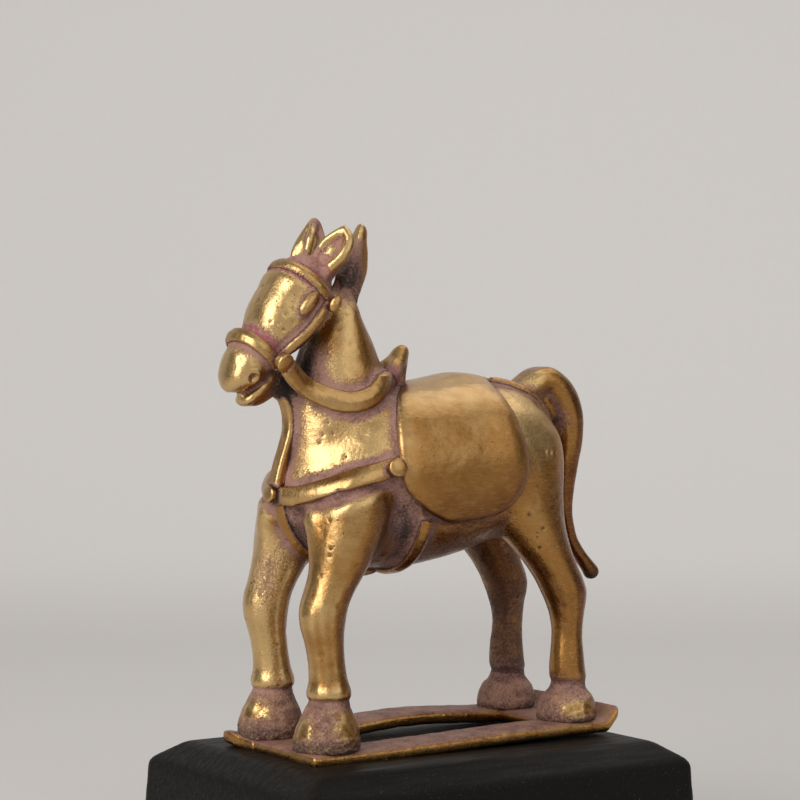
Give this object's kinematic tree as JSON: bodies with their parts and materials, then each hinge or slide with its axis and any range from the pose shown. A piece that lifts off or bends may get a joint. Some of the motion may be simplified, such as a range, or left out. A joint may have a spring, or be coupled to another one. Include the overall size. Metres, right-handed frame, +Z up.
{
  "type": "cast horse figurine",
  "caption": "Folk-style cast brass horse standing in bridle, reins, breast strap and saddle cloth, on an open cast base frame pinned to a black chamfered wooden plinth.",
  "frame": {"origin": "centre of the plinth's underside", "axes": "+Z up, the horse faces -X, and +Y is the horse's right side"},
  "size_m": [0.1304, 0.0934, 0.1837],
  "materials": {
    "cast_brass": "polished and worn casting skin with dark patina in the hollows",
    "tack_brass": "satin casting skin with mauve patina along the edges",
    "frame_brass": "rough casting skin with brown patina and rubbed edges",
    "pin_steel": "plain rod",
    "black_painted_wood": "satin black paint with dust and small chips"
  },
  "bodies": {
    "root": {"base_cross_front": "frame_brass", "base_cross_rear": "frame_brass", "base_rail_left": "frame_brass", "base_rail_right": "frame_brass", "bit_boss_left": "tack_brass", "bit_boss_right": "tack_brass", "breast_strap": "tack_brass", "breast_stud_centre": "tack_brass", "breast_stud_left": "tack_brass", "breast_stud_right": "tack_brass", "bridle_button_left": "tack_brass", "bridle_button_right": "tack_brass", "browband": "tack_brass", "cheek_strap_left": "tack_brass", "cheek_strap_right": "tack_brass", "crupper_left": "tack_brass", "crupper_right": "tack_brass", "ear_left": "cast_brass", "ear_right": "cast_brass", "eye_left": "cast_brass", "eye_right": "cast_brass", "fore_hoof_left": "cast_brass", "fore_hoof_right": "cast_brass", "foreleg_left": "cast_brass", "foreleg_right": "cast_brass", "girth": "tack_brass", "head": "cast_brass", "hind_hoof_left": "cast_brass", "hind_hoof_right": "cast_brass", "hindleg_left": "cast_brass", "hindleg_right": "cast_brass", "lower_jaw": "cast_brass", "mane_crest": "cast_brass", "martingale_lower": "tack_brass", "martingale_upper": "tack_brass", "mounting_pin_fore": "pin_steel", "mounting_pin_hind": "pin_steel", "neck": "cast_brass", "noseband": "tack_brass", "plinth": "black_painted_wood", "pommel": "tack_brass", "rein_left": "tack_brass", "rein_right": "tack_brass", "saddle_cloth": "tack_brass", "tail": "cast_brass", "torso": "cast_brass"}
  },
  "joints": []
}
